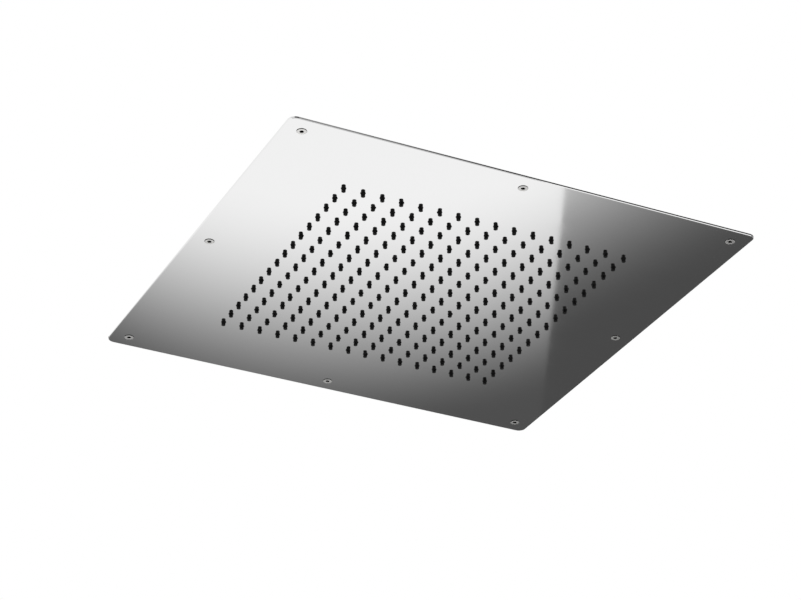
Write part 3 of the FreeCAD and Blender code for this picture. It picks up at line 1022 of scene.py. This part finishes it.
def curtained_room(tree, round_turn, elevation):
    """Brightness above the horizon: a black curtain on the right, a pale wall on the left, a pale ceiling."""
    high = faded(tree, elevation, 0.0, 0.65, 34.0, 44.0)

    # The curtain hangs from ahead of the camera to behind it, with one paler fold
    fold_at = 158.0
    off_fold = computed(tree, "ABSOLUTE", computed(tree, "SUBTRACT", round_turn, fold_at))
    for wall in (
            faded(tree, round_turn, 1.0, 0.03, -17.0, -9.0),
            faded(tree, off_fold, 0.29, 0.03, 0.0, 6.0),
            faded(tree, round_turn, 0.0, 0.8, 205.0, 225.0)):
        high = computed(tree, "MAXIMUM", high, wall)
    return high


def mirrored_room(tree):
    """Brightness of the room that polished steel mirrors, in shades by direction.

    Angles are in degrees. Azimuths run from +Y towards +X and elevations up from the horizon, both in the
    direction of the mirrored ray.
    """
    direction = add_node(tree, "ShaderNodeTexCoord").outputs["Generated"]
    parts = add_node(tree, "ShaderNodeSeparateXYZ", links={"Vector": direction}).outputs
    elevation = computed(tree, "DEGREES", computed(tree, "ARCSINE", parts["Z"]))
    azimuth = computed(tree, "DEGREES", computed(tree, "ARCTAN2", parts["X"], parts["Y"]))
    round_turn = computed(tree, "WRAP", azimuth, 270.0, -90.0)

    floor = lit_floor(tree, azimuth, round_turn, elevation)
    screen, screened = dark_screen(tree, azimuth, elevation)
    low = add_node(tree, "ShaderNodeMix", links={"Factor": screened, "A": floor, "B": screen})
    above = faded(tree, elevation, 0.0, 1.0, -4.0, 4.0)
    links = {"Factor": above, "A": low.outputs[0], "B": curtained_room(tree, round_turn, elevation)}
    room = add_node(tree, "ShaderNodeMix", links=links)

    # A lit strip of wall shows between the floor and the curtain, except behind the screen
    foot = faded(tree, elevation, 0.0, 0.7, -22.0, -5.0)
    head = faded(tree, elevation, 1.0, 0.0, 16.0, 24.0)
    unscreened = computed(tree, "SUBTRACT", 1.0, screened)
    strip = computed(tree, "MULTIPLY", computed(tree, "MULTIPLY", foot, head), unscreened)
    return computed(tree, "MAXIMUM", room.outputs[0], strip)


def studio_light(studio):
    """The world: white behind the head, an even light on matt surfaces, and a shaded room in mirrors."""
    world = bpy.data.worlds.new("studio")
    bpy.context.scene.world = world
    world.use_nodes = True
    tree = world.node_tree
    tree.nodes.clear()

    path = add_node(tree, "ShaderNodeLightPath").outputs
    links = {"Factor": path["Is Glossy Ray"], "B": mirrored_room(tree)}
    lighting = add_node(tree, "ShaderNodeMix", {"A": studio.plain_level}, links)
    links = {"Factor": path["Is Camera Ray"], "A": lighting.outputs[0]}
    level = add_node(tree, "ShaderNodeMix", {"B": 1.0}, links)
    white = {"Color": (1, 1, 1, 1)}
    background = add_node(tree, "ShaderNodeBackground", white, {"Strength": level.outputs[0]})
    add_node(tree, "ShaderNodeOutputWorld", links={"Surface": background.outputs[0]})


def matt_floor_paint(tree, finishes):
    """Matt emulsion: an even pale surface with no gloss, lifted to white for the camera as the room is."""
    paint = add_node(tree, "ShaderNodeBsdfDiffuse", {"Color": (*finishes.floor_paint, 1), "Roughness": 0.5})
    path = add_node(tree, "ShaderNodeLightPath").outputs
    lift = ranged(tree, path["Is Camera Ray"], 0.0, 0.36)
    glow = add_node(tree, "ShaderNodeEmission", links={"Strength": lift})
    lifted = add_node(tree, "ShaderNodeAddShader", links={0: paint.outputs[0], 1: glow.outputs[0]})

    # The camera below it sees through its underside
    clear = add_node(tree, "ShaderNodeBsdfTransparent")
    under = add_node(tree, "ShaderNodeNewGeometry").outputs["Backfacing"]
    return add_node(
        tree, "ShaderNodeMixShader", links={0: under, 1: lifted.outputs[0], 2: clear.outputs[0]})


def pale_floor(studio):
    """A round floor painted white, seen through from below."""
    radius, z, steps = studio.floor_radius, -studio.floor_drop, 96
    angles = steps_between(0, 2 * math.pi, steps)[:-1]
    points = [(radius * math.cos(a), radius * math.sin(a), z) for a in angles]
    mesh = mesh_of("floor", (points, [tuple(range(steps))]))
    mesh.materials.append(new_finish(matt_floor_paint))
    floor = placed("floor", mesh)


class SHOWERHEAD_OT_stage(bpy.types.Operator):
    """Set up the camera, the floor, the lamp and the studio's light"""

    bl_idname = "showerhead.stage"
    bl_label = "Stage"

    def execute(self, context):
        studio = context.scene.shower_studio
        studio_light(studio)
        pale_floor(studio)

        lamp = bpy.data.lights.new("soft_lamp", "AREA")
        lamp.size = studio.lamp_size
        lamp.energy = studio.lamp_power
        lamp_object = placed("soft_lamp", lamp)
        lamp_object.location = studio.lamp_place
        lamp_object.rotation_euler = (-lamp_object.location).to_track_quat("-Z", "Y").to_euler()

        camera = bpy.data.cameras.new("camera")
        camera.lens = studio.camera_lens
        camera.sensor_width = SENSOR_WIDTH
        camera_object = placed("camera", camera)
        upright = Matrix.Rotation(math.pi / 2 + studio.camera_elevation, 4, "X")
        turn = Matrix.Rotation(-studio.camera_azimuth, 4, "Z")
        roll = Matrix.Rotation(studio.camera_roll, 4, "Z")
        camera_object.matrix_world = Matrix.Translation(studio.camera_place) @ turn @ upright @ roll
        context.scene.camera = camera_object
        context.scene.view_settings.view_transform = "Standard"
        return {"FINISHED"}


OPERATORS = (
    SHOWERHEAD_OT_faceplate,
    SHOWERHEAD_OT_nozzles,
    SHOWERHEAD_OT_plate_screws,
    SHOWERHEAD_OT_back_pan,
    SHOWERHEAD_OT_rim_fasteners,
    SHOWERHEAD_OT_stay_fasteners,
    SHOWERHEAD_OT_inlet,
    SHOWERHEAD_OT_filter,
    SHOWERHEAD_OT_seals,
    SHOWERHEAD_OT_stage,
)


class SHOWERHEAD_PT_panel(bpy.types.Panel):
    """Steps and sizes of the shower head"""

    bl_idname = "SHOWERHEAD_PT_panel"
    bl_label = "Shower head"
    bl_space_type = "VIEW_3D"
    bl_region_type = "UI"
    bl_category = "Shower head"

    def draw(self, context):
        layout = self.layout
        for operator in OPERATORS:
            layout.operator(operator.bl_idname)
        for group in (context.scene.shower_sizes, context.scene.shower_finishes, context.scene.shower_studio):
            box = layout.box()
            for name in group.__annotations__:
                box.prop(group, name)


GROUPS = {
    "shower_sizes": ShowerSizes,
    "shower_finishes": ShowerFinishes,
    "shower_studio": ShowerStudio,
}


def register():
    for name, group in GROUPS.items():
        bpy.utils.register_class(group)
        setattr(bpy.types.Scene, name, PointerProperty(type=group))
    for operator in OPERATORS:
        bpy.utils.register_class(operator)
    bpy.utils.register_class(SHOWERHEAD_PT_panel)


def unregister():
    bpy.utils.unregister_class(SHOWERHEAD_PT_panel)
    for operator in reversed(OPERATORS):
        bpy.utils.unregister_class(operator)
    for name, group in GROUPS.items():
        delattr(bpy.types.Scene, name)
        bpy.utils.unregister_class(group)


def main():
    register()
    bpy.ops.showerhead.faceplate()
    bpy.ops.showerhead.nozzles()
    bpy.ops.showerhead.plate_screws()
    bpy.ops.showerhead.back_pan()
    bpy.ops.showerhead.rim_fasteners()
    bpy.ops.showerhead.stay_fasteners()
    bpy.ops.showerhead.inlet()
    bpy.ops.showerhead.filter()
    bpy.ops.showerhead.seals()
    bpy.ops.showerhead.stage()


if __name__ == "__main__":
    main()
